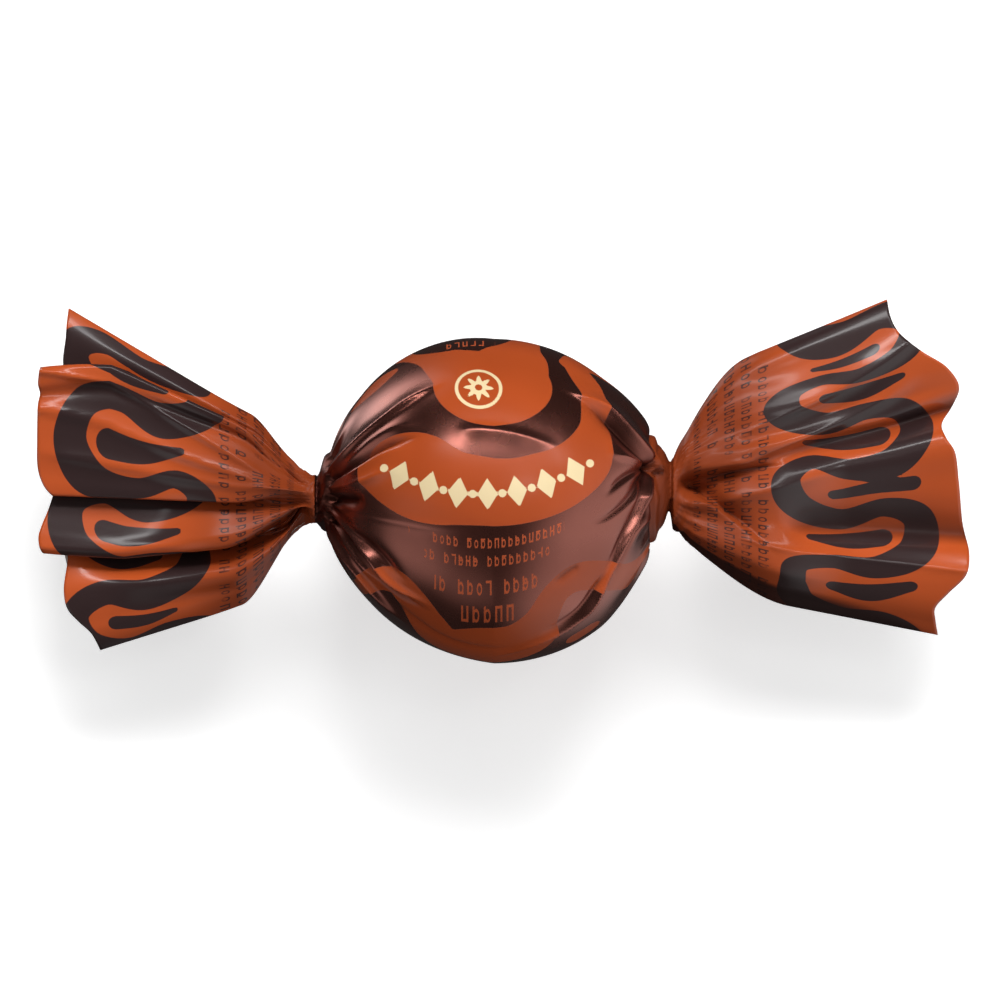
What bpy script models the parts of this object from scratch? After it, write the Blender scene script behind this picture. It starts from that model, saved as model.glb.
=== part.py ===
"""A chocolate truffle in its twist wrapper, lying on its side.

One sheet of printed film is rolled round a ball of chocolate, gathered into a
neck at each end and flared out into two flat, pleated tails.  The wrapper is
shut, so the ball and its film are one solid; each tail is a flattened tube
that stays open at its far edge.

X runs along the sweet, Y across it in the plane of the tails, Z points up.
The origin is the middle of the small flat spot that the ball rests on.
Lengths are in millimetres until the mesh is made.

Everything is built from rings of points round the X axis.  A ring starts at
+Y, passes over the front at +Z, reaches -Y half way and returns at the back.
"""
import math

import bmesh
import bpy

MM = 0.001

# The ball, with the film that covers it
BALL_HALF_LENGTH = 18.8
BALL_HALF_WIDTH = 18.15
BALL_HALF_HEIGHT = 17.5
BASE_FLAT_DEPTH = 0.75
CENTRE_Z = BALL_HALF_HEIGHT - BASE_FLAT_DEPTH
BALL_ROWS = 21
BALL_END_ANGLE = math.radians(15.5)

# The ball's sections drift towards +Y as they near the necks
LEFT_BOW = 0.95
LEFT_BOW_LENGTH = 8.0
RIGHT_BOW = 1.7
RIGHT_BOW_START = 11.5
RIGHT_BOW_LENGTH = 8.0

# Gathers that run from each neck over the end of the ball
GATHERS = 11
GATHER_DEPTH = 0.5
GATHER_REACH = math.radians(58.0)
GATHER_PHASES = (0.6, 2.2)

# The two twisted necks: distance from the middle, sideways shift, radius, and
# the shoulder where the film leaves the ball
LEFT_NECK_X = -19.7
RIGHT_NECK_X = 19.65
LEFT_NECK_Y = 0.25
RIGHT_NECK_Y = 1.75
NECK_RADIUS = 2.75
SHOULDER_X = 19.0
SHOULDER_RADIUS = 4.1
NECK_LOBES = 8
NECK_LOBE_DEPTH = 0.3
NECK_TWIST = math.radians(35.0)

# The tails: film wall, depth of the open pocket, and how they rise and droop
WALL = 0.5
MITRE_LIMIT = 2.4
POCKET_START = 0.46
LEFT_RISE = 0.076
RIGHT_RISE = 0.091
TAIL_DROOP = 0.10
TAIL_STEPS = (0.0, 0.05, 0.11, 0.18, 0.26, 0.36, 0.46, 0.6, 0.8, 1.0)

# The bunched film near the neck: where the tail starts, how deep it is there,
# how far the bunch reaches and where the section has become flat
TAIL_START = 0.35
TAIL_START_DEPTH = 3.0
TAIL_SWELL = 1.5
SWELL_REACH = 0.5
FLATTENING = 0.9
LOBE_REACH = 0.12
TAIL_PLEATS = 9
TAIL_PLEAT_DEPTH = 0.55
TAIL_PLEAT_REACH = 0.62
TAIL_PLEAT_PHASES = (0.0, 2.0)

# How each tail opens: share of its final width just outside the neck, share
# that the straight part points back to, and the length over which it opens
LEFT_FLARE_TOP = (0.14, 0.265, 0.26)
LEFT_FLARE_BOTTOM = (0.14, 0.50, 0.34)
RIGHT_FLARE_TOP = (0.17, 0.60, 0.34)
RIGHT_FLARE_BOTTOM = (0.24, 0.56, 0.44)

# Far edge of the left tail: distance from the neck, height across the tail and
# depth, from the upper corner down the front.  It is folded into four panels.
LEFT_FRONT = (
    (28.1, 19.4, -0.6), (28.3, 17.6, 0.5), (28.4, 16.2, 0.9), (28.8, 13.9, 0.8),
    (31.0, 12.5, 2.4), (31.4, 10.4, 2.5), (31.2, 7.6, 2.0), (31.5, 4.2, 2.6),
    (31.4, 0.9, 2.3), (30.0, -1.5, 2.2), (30.0, -2.9, 0.9), (31.2, -5.6, 1.8),
    (31.0, -8.1, 1.7), (28.3, -9.1, 0.2), (28.6, -12.4, 0.9), (28.0, -14.6, 0.8),
    (25.6, -16.9, 0.0), (24.6, -18.8, -1.6),
)
LEFT_BACK = (
    (24.6, -18.8, -1.6), (25.4, -16.4, -2.4), (27.6, -12.0, -2.0),
    (28.8, -7.5, -1.5), (29.6, -2.0, -2.0), (30.0, 4.0, -1.3),
    (29.6, 9.0, -1.8), (28.4, 14.5, -1.9), (28.1, 19.4, -0.6),
)

# Far edge of the right tail, in the same way: one wavy sheet
RIGHT_FRONT = (
    (24.5, 18.5, -0.6), (24.8, 16.8, 0.8), (25.8, 14.8, 1.4), (28.3, 12.6, 1.8),
    (31.2, 10.5, 1.5), (32.6, 8.2, 0.8), (32.0, 6.3, 0.9), (30.6, 4.2, 1.8),
    (31.0, 2.7, 2.5), (32.0, 1.0, 2.5), (32.5, -2.3, 1.6), (33.0, -6.8, 1.0),
    (33.7, -10.6, 1.7), (33.3, -13.0, 2.0), (31.4, -14.8, 1.5), (29.9, -16.4, 0.6),
    (30.0, -17.9, -0.5), (30.3, -19.5, -1.9),
)
RIGHT_BACK = (
    (30.3, -19.5, -1.9), (29.4, -16.6, -2.6), (31.0, -12.0, -1.9),
    (31.6, -6.5, -1.5), (31.0, -1.0, -2.0), (29.6, 4.5, -1.3),
    (29.4, 9.0, -1.8), (25.4, 14.0, -1.9), (24.5, 18.5, -0.6),
)
POINTS_PER_SPAN = 2
HALF_RING = (len(LEFT_FRONT) - 1) * POINTS_PER_SPAN
RING = 2 * HALF_RING

FILM_COLOUR = (0.40, 0.085, 0.02, 1.0)
FILM_ROUGHNESS = 0.32
FILM_METALLIC = 0.1


def clamp01(value):
    return min(max(value, 0.0), 1.0)


def smoothstep(value):
    t = clamp01(value)
    return t * t * (3.0 - 2.0 * t)


def mix(a, b, share):
    return a + (b - a) * share


def ring_angle(index):
    return 2.0 * math.pi * index / RING


def catmull_rom(points, index, t):
    """A point on the smooth curve through the stations, in span index."""
    last = len(points) - 1
    p0 = points[max(index - 1, 0)]
    p1 = points[index]
    p2 = points[index + 1]
    p3 = points[min(index + 2, last)]
    return tuple(
        0.5 * (2 * b + (c - a) * t + (2 * a - 5 * b + 4 * c - d) * t ** 2
               + (3 * b - a - 3 * c + d) * t ** 3)
        for a, b, c, d in zip(p0, p1, p2, p3)
    )


def along_stations(points):
    """Half a ring of points on the stations' curve, without its last one."""
    spans = len(points) - 1
    out = []
    for step in range(HALF_RING):
        place = step * spans / HALF_RING
        index = min(int(place), spans - 1)
        out.append(catmull_rom(points, index, place - index))
    return out


def flare(t, shape):
    """Share of the final width at t, opening like a bell."""
    start, straight, length = shape
    return mix(start, straight + (1.0 - straight) * t, smoothstep(t / length))


def round_flare(t, shape):
    """The same, bulging out at once behind the neck."""
    start, straight, length = shape
    ease = 1.0 - (1.0 - clamp01(t / length)) ** 2
    return mix(start, straight + (1.0 - straight) * t, ease)


def left_opening(t, side):
    return mix(flare(t, LEFT_FLARE_TOP), flare(t, LEFT_FLARE_BOTTOM), side)


def right_opening(t, side):
    return mix(round_flare(t, RIGHT_FLARE_TOP), round_flare(t, RIGHT_FLARE_BOTTOM), side)


def gather_wave(angle, count, phase):
    """Uneven folds round the sweet, between -1 and 1."""
    uneven = angle + 0.22 * math.sin(2 * angle + phase) + 0.1 * math.sin(5 * angle + 2 * phase)
    return math.cos(count * uneven + phase)


def neck_lobe(angle, turns):
    """Height of the twisted ridges of a neck, turned on by some steps."""
    return NECK_LOBE_DEPTH * math.cos(NECK_LOBES * (angle + NECK_TWIST * turns))


def tail_section(edge, t, opening, phase):
    """One section of a tail as (distance, height, depth) points."""
    top = edge[0][1]
    bottom = edge[HALF_RING][1]
    section = []
    for index, (reach, height, depth) in enumerate(edge):
        angle = ring_angle(index)
        side = smoothstep((top - height) / (top - bottom))
        start = opening(0.0, side)
        opened = clamp01((opening(t, side) - start) / (1.0 - start))
        across = start * mix(top, -bottom, side)
        h = mix(across * math.cos(angle), height, opened)
        z = mix(TAIL_START_DEPTH * math.sin(angle), depth, smoothstep(t / FLATTENING))
        swell = TAIL_SWELL * math.sin(math.pi * clamp01(t / SWELL_REACH))
        fade = smoothstep(t / LOBE_REACH)
        reaching = fade * (1.0 - smoothstep(t / TAIL_PLEAT_REACH))
        pleat = TAIL_PLEAT_DEPTH * reaching * gather_wave(angle, TAIL_PLEATS, phase)
        lobe = neck_lobe(angle, 0) * (1.0 - fade)
        z += (swell + pleat + lobe) * math.sin(angle)
        h += lobe * math.cos(angle)
        section.append((mix(TAIL_START, reach, t), h, z))
    return section


def inward(h0, z0, h1, z1):
    """Unit normal of a section's edge, towards the inside of the section."""
    length = math.hypot(h1 - h0, z1 - z0)
    return (z0 - z1) / length, (h1 - h0) / length


def shrink(section):
    """The same section moved inwards by the film's wall."""
    inner = []
    for index, (reach, h, z) in enumerate(section):
        _, h0, z0 = section[index - 1]
        _, h1, z1 = section[(index + 1) % RING]
        before = inward(h0, z0, h, z)
        after = inward(h, z, h1, z1)
        nh = before[0] + after[0]
        nz = before[1] + after[1]
        length = math.hypot(nh, nz)
        move = WALL / max(length / 2.0, 1.0 / MITRE_LIMIT)
        inner.append((reach, h + nh / length * move, z + nz / length * move))
    return inner


def place_tail(section, neck_x, neck_y, rise, side):
    """From the tail's own (distance, height, depth) to the sweet's X, Y, Z."""
    return [
        (neck_x + side * reach, neck_y + rise * reach + h, CENTRE_Z - TAIL_DROOP * reach + z)
        for reach, h, z in section
    ]


def tail_rings(front, back, opening, phase, place):
    """A tail's outer rings and its pocket's rings, both from the neck out."""
    edge = along_stations(front) + along_stations(back)
    outer = []
    pocket = []
    for t in TAIL_STEPS:
        section = tail_section(edge, t, opening, phase)
        outer.append(place_tail(section, *place))
        if t >= POCKET_START:
            pocket.append(place_tail(shrink(section), *place))
    return outer, pocket


def ball_ring(polar):
    """One ring of the ball; polar runs from the left neck to the right one."""
    x = -BALL_HALF_LENGTH * math.cos(polar)
    on_left = x < 0.0
    from_end = min(polar, math.pi - polar)
    gather = smoothstep((GATHER_REACH - from_end) / (GATHER_REACH - BALL_END_ANGLE))
    if on_left:
        shift = LEFT_BOW * (1.0 - math.exp(x / LEFT_BOW_LENGTH))
    else:
        shift = RIGHT_BOW * smoothstep((x - RIGHT_BOW_START) / RIGHT_BOW_LENGTH)
    phase = GATHER_PHASES[0] if on_left else GATHER_PHASES[1]
    ring = []
    for index in range(RING):
        angle = ring_angle(index)
        depth = GATHER_DEPTH * gather * gather_wave(angle, GATHERS, phase)
        y = (BALL_HALF_WIDTH * math.sin(polar) + depth) * math.cos(angle) + shift
        z = (BALL_HALF_HEIGHT * math.sin(polar) + depth) * math.sin(angle)
        ring.append((x, y, max(CENTRE_Z + z, 0.0)))
    return ring


def neck_ring(x, y, radius, turns):
    ring = []
    for index in range(RING):
        angle = ring_angle(index)
        r = radius + neck_lobe(angle, turns)
        ring.append((x, y + r * math.cos(angle), CENTRE_Z + r * math.sin(angle)))
    return ring


def middle_rings():
    """Left neck, shoulder, ball, shoulder and right neck."""
    sweep = math.pi - 2.0 * BALL_END_ANGLE
    ball = [ball_ring(BALL_END_ANGLE + sweep * row / BALL_ROWS) for row in range(BALL_ROWS + 1)]
    return [
        neck_ring(LEFT_NECK_X, LEFT_NECK_Y, NECK_RADIUS, 1),
        neck_ring(-SHOULDER_X, LEFT_BOW, SHOULDER_RADIUS, 2),
        *ball,
        neck_ring(SHOULDER_X, RIGHT_BOW, SHOULDER_RADIUS, -2),
        neck_ring(RIGHT_NECK_X, RIGHT_NECK_Y, NECK_RADIUS, -1),
    ]


def add_ring(bm, points):
    return [bm.verts.new((x * MM, y * MM, z * MM)) for x, y, z in points]


def bridge(bm, ring_a, ring_b, in_pocket):
    """Two triangles between each pair of neighbours on the two rings.

    A pocket's rings run the other way, so its quads are split along the other
    diagonal: the film's two faces are then divided alike.
    """
    for i in range(RING):
        j = (i + 1) % RING
        a, b, c, d = ring_a[i], ring_a[j], ring_b[j], ring_b[i]
        if in_pocket:
            bm.faces.new((a, b, d))
            bm.faces.new((b, c, d))
        else:
            bm.faces.new((a, b, c))
            bm.faces.new((a, c, d))


def close_pocket(bm, ring, facing_left):
    """Close a ring with a strip of faces from its top to its bottom."""
    for i in range(HALF_RING):
        corners = dict.fromkeys((ring[i], ring[i + 1], ring[RING - 1 - i], ring[-i]))
        corners = list(corners)
        if facing_left:
            corners.reverse()
        for k in range(1, len(corners) - 1):
            bm.faces.new((corners[0], corners[k], corners[k + 1]))


def make_wrapper():
    """The whole skin: left pocket, left tail, ball, right tail, right pocket."""
    left, left_pocket = tail_rings(
        LEFT_FRONT, LEFT_BACK, left_opening, TAIL_PLEAT_PHASES[0],
        (LEFT_NECK_X, LEFT_NECK_Y, LEFT_RISE, -1.0))
    right, right_pocket = tail_rings(
        RIGHT_FRONT, RIGHT_BACK, right_opening, TAIL_PLEAT_PHASES[1],
        (RIGHT_NECK_X, RIGHT_NECK_Y, RIGHT_RISE, 1.0))
    outside = left[::-1] + middle_rings() + right

    bm = bmesh.new()
    rows = [add_ring(bm, ring) for ring in left_pocket + outside + right_pocket[::-1]]
    first_outside = len(left_pocket)
    last_outside = first_outside + len(outside) - 1
    for row in range(len(rows) - 1):
        in_pocket = row < first_outside - 1 or row > last_outside
        bridge(bm, rows[row], rows[row + 1], in_pocket)
    close_pocket(bm, rows[0], True)
    close_pocket(bm, rows[-1], False)
    bm.normal_update()
    return bm


def film_material():
    material = bpy.data.materials.new("printed_film")
    material.use_nodes = True
    shader = material.node_tree.nodes["Principled BSDF"]
    shader.inputs["Base Color"].default_value = FILM_COLOUR
    shader.inputs["Roughness"].default_value = FILM_ROUGHNESS
    shader.inputs["Metallic"].default_value = FILM_METALLIC
    return material


def main():
    for old in list(bpy.data.objects):
        bpy.data.objects.remove(old, do_unlink=True)
    bm = make_wrapper()
    mesh = bpy.data.meshes.new("wrapped_truffle")
    bm.to_mesh(mesh)
    bm.free()
    mesh.materials.append(film_material())
    mesh.shade_smooth()
    wrapper = bpy.data.objects.new("wrapped_truffle", mesh)
    bpy.context.scene.collection.objects.link(wrapper)


main()
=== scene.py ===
"""Looks of a chocolate truffle in its twist wrapper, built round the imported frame.

The wrapper is one sheet of printed film in three pieces that meet at the
twisted necks: the film on the ball and the two tails.  Lengths are in
millimetres until a mesh is made.  Rings of points run round the X axis: from
+Y over the front (+Z) to -Y, and back along the underside.
"""

import math
from functools import partialmethod

import bpy
import numpy as np
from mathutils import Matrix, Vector


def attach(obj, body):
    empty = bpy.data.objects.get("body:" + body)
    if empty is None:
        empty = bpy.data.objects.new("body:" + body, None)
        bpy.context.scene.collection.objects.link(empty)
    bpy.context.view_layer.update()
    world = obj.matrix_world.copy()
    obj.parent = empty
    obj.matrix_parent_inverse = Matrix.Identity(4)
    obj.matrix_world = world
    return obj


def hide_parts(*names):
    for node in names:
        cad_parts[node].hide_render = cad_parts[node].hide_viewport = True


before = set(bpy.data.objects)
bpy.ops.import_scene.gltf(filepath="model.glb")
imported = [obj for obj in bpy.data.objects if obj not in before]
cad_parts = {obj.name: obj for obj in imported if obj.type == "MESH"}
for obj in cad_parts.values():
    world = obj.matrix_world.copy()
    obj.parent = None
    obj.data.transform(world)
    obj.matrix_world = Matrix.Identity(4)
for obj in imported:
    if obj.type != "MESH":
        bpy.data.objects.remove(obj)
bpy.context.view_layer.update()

MM = 0.001
TAU = 2.0 * math.pi

# ---- dimensions

# The ball, as in the frame
BALL = np.array((18.8, 18.15, 17.5))
BASE_FLAT_DEPTH = 0.75
CENTRE_Z = BALL[2] - BASE_FLAT_DEPTH
BALL_END_ANGLE = math.radians(15.5)
LEFT_BOW = 0.95
LEFT_BOW_LENGTH = 8.0
RIGHT_BOW = 1.7
RIGHT_BOW_START = 11.5
RIGHT_BOW_LENGTH = 8.0

# The necks, as in the frame
LEFT_NECK = (-19.7, 0.25)
RIGHT_NECK = (19.65, 1.75)
NECK_RADIUS = 2.75
SHOULDER_X = 19.0
SHOULDER_RADIUS = 4.1
NECK_TWIST = math.radians(34.0)
NECK_TWIST_GROWS = (-1.6, 1.2)

# The tails, as in the frame
LEFT_RISE = 0.076
RIGHT_RISE = 0.091
TAIL_DROOP = 0.10
TAIL_START = 0.35
TAIL_START_DEPTH = 3.0
TAIL_SWELL = 1.5
SWELL_REACH = 0.62
FLATTENING = 0.9
FLAT_FROM = 0.12
FLAT_GAIN = 2.2
SHAPE_REACH = 0.30
FOLD_BLUR = 16
FOLD_GAIN = 1.15
TWIST_ENDS = (0.6, 3.2)
PLEATS_GROW = (0.3, 2.6)
PLEATS_FADE = 2.0
PLEATS_FALL = 1.5
RIDGE_STARTS = 0.12
RIDGE_ENDS = 0.24
RIDGES_FROM = 0.06
# The painted shade in the tails' folds: over how many ring points the film round a point is averaged,
# and how far below that average a point gets the full shade
HOLLOW_BLUR = 7
HOLLOW_DEPTH = 0.8
# How wide a tail is at its neck, how straight it opens and over what share of
# its length it begins to, at its +Y and its -Y side
LEFT_FLARES = ((0.14, 0.265, 0.26), (0.14, 0.50, 0.34))
RIGHT_FLARES = ((0.17, 0.60, 0.34), (0.24, 0.56, 0.44))

# Far edge of the left tail: distance from the neck, height, depth.  The front
# is folded into four panels, and each fold turns under the panel before it.
LEFT_EDGE = (
    (28.1, 19.4, -0.6), (28.3, 17.6, 0.4), (28.4, 16.0, 0.7), (28.7, 13.6, 0.6),
    (28.6, 11.6, 0.7), (28.9, 10.4, 1.0), (29.4, 10.1, 1.5), (30.2, 10.8, 2.0),
    (30.9, 12.0, 2.3), (31.1, 12.5, 2.6), (31.2, 12.2, 3.0), (31.4, 10.6, 2.9),
    (31.2, 9.5, 2.3), (31.4, 8.4, 2.6), (31.5, 4.2, 2.8), (31.4, 0.9, 2.6),
    (30.7, -0.9, 2.6), (29.9, -1.75, 2.4), (29.7, -1.8, 2.0), (29.6, -0.9, 1.6),
    (29.5, 0.2, 1.35), (29.5, 0.5, 1.0), (29.6, 0.0, 0.75), (29.8, -1.6, 0.75),
    (30.3, -3.3, 1.1), (31.1, -5.4, 1.7), (31.4, -6.6, 2.0), (31.2, -7.9, 1.9),
    (30.9, -8.35, 1.6), (30.6, -8.3, 1.2), (29.8, -7.4, 0.9), (29.0, -6.6, 0.6),
    (28.6, -6.5, 0.2), (28.3, -7.3, 0.0), (28.2, -8.7, 0.1), (28.6, -12.4, 0.9),
    (28.2, -14.4, 0.8), (26.9, -15.8, 0.4), (25.6, -16.9, 0.1), (24.8, -18.3, -0.8),
    (24.6, -18.8, -1.6),
)
LEFT_BACK = (
    (25.4, -16.4, -2.4), (27.6, -12.0, -2.0), (28.8, -7.5, -1.5),
    (29.6, -2.0, -2.0), (30.0, 4.0, -1.3), (29.6, 9.0, -1.8), (28.4, 14.5, -1.9),
)

# Far edge of the right tail, one wavy sheet
RIGHT_EDGE = (
    (24.5, 18.5, -0.6), (24.8, 16.8, 0.8), (25.8, 14.8, 1.4), (28.3, 12.6, 1.8),
    (31.2, 10.5, 1.5), (32.6, 8.2, 0.8), (32.0, 6.3, 0.9), (30.6, 4.2, 1.8),
    (31.0, 2.7, 2.5), (32.0, 1.0, 2.5), (32.5, -2.3, 1.6), (33.0, -6.8, 1.0),
    (33.7, -10.6, 1.7), (33.3, -13.0, 2.0), (31.4, -14.8, 1.5), (29.9, -16.4, 0.6),
    (30.0, -17.9, -0.5), (30.3, -19.5, -1.9),
)
RIGHT_BACK = (
    (29.4, -16.6, -2.6), (31.0, -12.0, -1.9), (31.6, -6.5, -1.5),
    (31.0, -1.0, -2.0), (29.6, 4.5, -1.3), (29.4, 9.0, -1.8), (25.4, 14.0, -1.9),
)

# The film of the right tail laps back over the ball as a collar
COLLAR_ANGLE = math.radians(20.5)
COLLAR_GROOVE = 0.5
COLLAR_GROOVE_WIDTH = 0.38
COLLAR_SWELL = 0.25
COLLAR_SWELL_OVER = 0.6
COLLAR_SMOOTH = 0.12

RING = 420
HALF_RING = RING // 2
BALL_ROWS = 200
NECK_ROWS = 14
TAIL_ROWS = 100
TAIL_CROWDING = 1.15
FILM_THICKNESS = 0.07
OVER_TABLE = 0.03

# ---- helpers


def smoothstep(value):
    t = np.clip(value, 0.0, 1.0)
    return t * t * (3.0 - 2.0 * t)


def rising(value, stretch):
    """From 0 to 1 over a stretch, given as its start and its length."""
    start, length = stretch
    return smoothstep((value - start) / length)


def mix(a, b, share):
    return a + (b - a) * share


def spline(points, step, closed=False):
    """A smooth curve through the points, as a dense line of even steps."""
    pts = np.asarray(points, float)
    if closed:
        pts = np.vstack([pts[-1], pts, pts[:2]])
    else:
        pts = np.vstack([2 * pts[0] - pts[1], pts, 2 * pts[-1] - pts[-2]])
    line = []
    for k in range(1, len(pts) - 2):
        p0, p1, p2, p3 = pts[k - 1:k + 3]
        knots = np.cumsum([0.0] + [max(np.linalg.norm(b - a), 1e-6) ** 0.5
                                   for a, b in ((p0, p1), (p1, p2), (p2, p3))])
        t = np.linspace(knots[1], knots[2], 24, endpoint=False)[:, None]
        a1 = (knots[1] - t) / knots[1] * p0 + t / knots[1] * p1
        a2 = ((knots[2] - t) * p1 + (t - knots[1]) * p2) / (knots[2] - knots[1])
        a3 = ((knots[3] - t) * p2 + (t - knots[2]) * p3) / (knots[3] - knots[2])
        b1 = ((knots[2] - t) * a1 + t * a2) / knots[2]
        b2 = ((knots[3] - t) * a2 + (t - knots[1]) * a3) / (knots[3] - knots[1])
        line.append(((knots[2] - t) * b1 + (t - knots[1]) * b2) / (knots[2] - knots[1]))
    line = np.vstack(line + [pts[-2][None]])
    length = arc_length(line)
    at = np.arange(0.0, length[-1], step)
    return np.stack([np.interp(at, length, line[:, k]) for k in range(line.shape[1])], 1)


def arc_length(line):
    steps = np.linalg.norm(np.diff(line, axis=0), axis=1)
    return np.concatenate([[0.0], np.cumsum(steps)])


def rounded(value):
    """From 0 to 1, starting off at once."""
    return 1.0 - (1.0 - np.clip(value, 0.0, 1.0)) ** 2


def opening(t, side, flares, ease):
    """How far a tail has opened after the share t of its length."""
    top, bottom = (mix(start, straight + (1.0 - straight) * t, ease(t / length))
                   for start, straight, length in flares)
    return mix(top, bottom, side)


ANGLES = TAU * np.arange(RING) / RING


# How far, how often round the ring and how shifted folds are pushed about
UNEVEN = ((0.20, 2, 1), (0.09, 5, 2), (0.04, 9, 3))


def uneven(angle, phase):
    """The angle, stretched here and there so that folds aren't alike."""
    stretched = angle
    for push, count, shift in UNEVEN:
        stretched = stretched + push * np.sin(count * angle + shift * phase)
    return stretched


def folds(angle, count, phase, crisp):
    """Folds round the sweet, -1 to 1: round waves mixed with sharp crests."""
    turn = count * uneven(angle, phase) + phase
    crest = 1.0 - 2.0 * np.abs(np.sin(0.5 * turn))
    return mix(np.cos(turn), crest, crisp)


# Ridges of the twisted necks: lift, how many, shift, share of crisp crest
TWIST_RIDGES = ((0.15, 7, 0.4, 0.6), (0.05, 17, 1.9, 0.5))


def twist(angle, along):
    """Ridges of the twisted neck; along is the distance from its middle."""
    turned = angle + NECK_TWIST * along
    return sum(lift * folds(turned, *shape) for lift, *shape in TWIST_RIDGES)


# ---- tails


# Points crowd together where the far edge bends: the edge's own step, over how
# many steps the bend is evened out, how strong its pull is and how strong at most
EDGE_STEP = 0.05
BEND_BLUR = 10
BEND_PULL = 1.6
BEND_MOST = 2.0


def tail_edge(front, back):
    """The far edge as ring points, with the film's own length along it."""
    line = spline(front + back, EDGE_STEP, closed=True)
    length = arc_length(line)
    corner = int(np.argmin(np.linalg.norm(line - np.array(front[-1]), axis=1)))
    tangent = np.gradient(line, axis=0)
    tangent /= np.linalg.norm(tangent, axis=1)[:, None]
    bend = np.linalg.norm(np.gradient(tangent, axis=0), axis=1) / EDGE_STEP
    window = 2 * BEND_BLUR + 1
    bend = np.convolve(np.r_[bend[-BEND_BLUR:], bend, bend[:BEND_BLUR]], np.ones(window) / window,
                       "valid")
    crowd = np.cumsum(1.0 + BEND_PULL * np.minimum(bend, BEND_MOST))
    places = []
    for first, last in ((0, corner), (corner, len(line) - 1)):
        wanted = np.linspace(crowd[first], crowd[last], HALF_RING, endpoint=False)
        places.append(np.interp(wanted, crowd[first:last + 1], np.arange(first, last + 1)))
    at = np.concatenate(places)
    index = np.arange(len(line))
    ring = np.stack([np.interp(at, index, line[:, k]) for k in range(3)], 1)
    return ring, np.interp(at, index, length)


# How blunt a crisp crest is, in square millimetres, and how narrow
CREST_TIP = 0.0025
CREST_NARROW = 0.6


def crest(distance, width, crisp):
    """A ridge's cross-section: rounded, or running up to a sharp crest."""
    width = np.where(distance < 0.0, *width)
    soft = np.exp(-(distance / width) ** 2)
    sharp = np.exp(-np.sqrt(distance ** 2 + CREST_TIP) / (CREST_NARROW * width))
    return mix(soft, sharp, crisp)


def ring_blur(values, reach):
    """Values round rings, smoothed over so many points either side."""
    offsets = np.arange(-3 * reach, 3 * reach + 1)
    weights = np.exp(-0.5 * (offsets / reach) ** 2)
    rolled = [w * np.roll(values, k, -1) for k, w in zip(offsets, weights)]
    return np.sum(rolled, 0) / weights.sum()


def depth_of_folds(outward):
    """0 on open film to 1 deep in a fold, from how far out each point lies."""
    return np.clip((ring_blur(outward, HOLLOW_BLUR) - outward) / HOLLOW_DEPTH, 0.0, 1.0)


def leaning(leans, t):
    """How much higher folds run before the far edge than at it."""
    total = 0.0
    degrees = np.degrees(ANGLES)
    for start, full, full_end, end, rise, reach in leans:
        on = (rising(degrees, (start, full - start))
              * (1.0 - rising(degrees, (full_end, end - full_end))))
        total = total + rise * on * np.clip((1.0 - t) / reach, 0.0, 1.0)
    return total


def tail_surface(side_x, ring, length, flares, ease, phase, pleats, ridges, leans, neck, rise):
    """Grid of the tail's film, neck to far edge, and its film coordinates."""
    t = (np.linspace(0.0, 1.0, TAIL_ROWS + 1) ** TAIL_CROWDING)[:, None]
    reach, height, depth = ring.T
    top, bottom = height[0], height[HALF_RING]
    side = smoothstep((top - height) / (top - bottom))
    opened = opening(t, side, flares, ease)
    shaped = smoothstep(t / SHAPE_REACH)
    h = opened * mix(mix(top, -bottom, side) * np.cos(ANGLES), height + leaning(leans, t), shaped)
    fold_depth = depth - ring_blur(depth, FOLD_BLUR)
    flat = smoothstep(t / FLATTENING)
    z = (mix(TAIL_START_DEPTH * np.sin(ANGLES), depth, flat)
         + FOLD_GAIN * fold_depth * np.maximum(shaped - flat, 0.0))
    away = mix(TAIL_START, reach, t)

    begun = smoothstep(t / FLAT_FROM)
    facing = mix(np.sin(ANGLES), np.clip(FLAT_GAIN * np.sin(ANGLES), -1.0, 1.0), begun)
    sideways = np.cos(ANGLES) * mix(1.0, 1.0 - np.abs(facing), begun)
    swell = TAIL_SWELL * np.sin(math.pi * np.clip(t / SWELL_REACH, 0.0, 1.0)) ** 2
    relief = twist(ANGLES, side_x * away) * (1.0 - rising(away, TWIST_ENDS))
    grown = rising(away, PLEATS_GROW)
    for count, lift, fades, crisp, shift in pleats:
        fade = grown * (1.0 - rising(away, (PLEATS_FADE, fades))) ** PLEATS_FALL
        relief += lift * fade * folds(ANGLES, count, phase + shift, crisp)
    for first, last, begin, end, lift, widths, crisp in ridges:
        angle = np.radians(mix(begin, end, (t - first) / (last - first)))
        where = np.interp(angle, ANGLES, length)
        gap = (length - where) * opened
        on = (smoothstep((t - first) / RIDGE_STARTS + 0.5)
              * (1.0 - smoothstep((t - last) / RIDGE_ENDS + 0.5)) * smoothstep(t / RIDGES_FROM))
        relief += lift * on * crest(gap, widths, crisp) * (ANGLES < math.pi)
    z = z + swell * np.sin(ANGLES) + relief * facing
    h = h + relief * sideways
    y = neck[1] + rise * away + h
    # How deep each point lies in a fold, which sets the painted shade in the folds
    painted_shade = depth_of_folds(z * facing)
    z = CENTRE_Z - TAIL_DROOP * away + z
    away = np.broadcast_to(away, h.shape)
    grid = np.stack([neck[0] + side_x * away, y, z], -1)
    film = np.stack([away, np.broadcast_to(length, h.shape)], -1)
    return grid, film, painted_shade


# ---- ball


# The film's round length is measured at the ball's widest place
FILM_RADIUS = 0.5 * (BALL[1] + BALL[2])
HALF_ROUND = math.pi * FILM_RADIUS
# Limits that keep sums finite at the ball's ends and at its edge
LEAST_GIRTH = 0.003
MOST_ROUND = 0.995


def bow(x):
    """How far the ball's ends are carried towards +Y."""
    left = LEFT_BOW * (1.0 - np.exp(np.minimum(x, 0.0) / LEFT_BOW_LENGTH))
    return left + RIGHT_BOW * smoothstep((x - RIGHT_BOW_START) / RIGHT_BOW_LENGTH)


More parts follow.
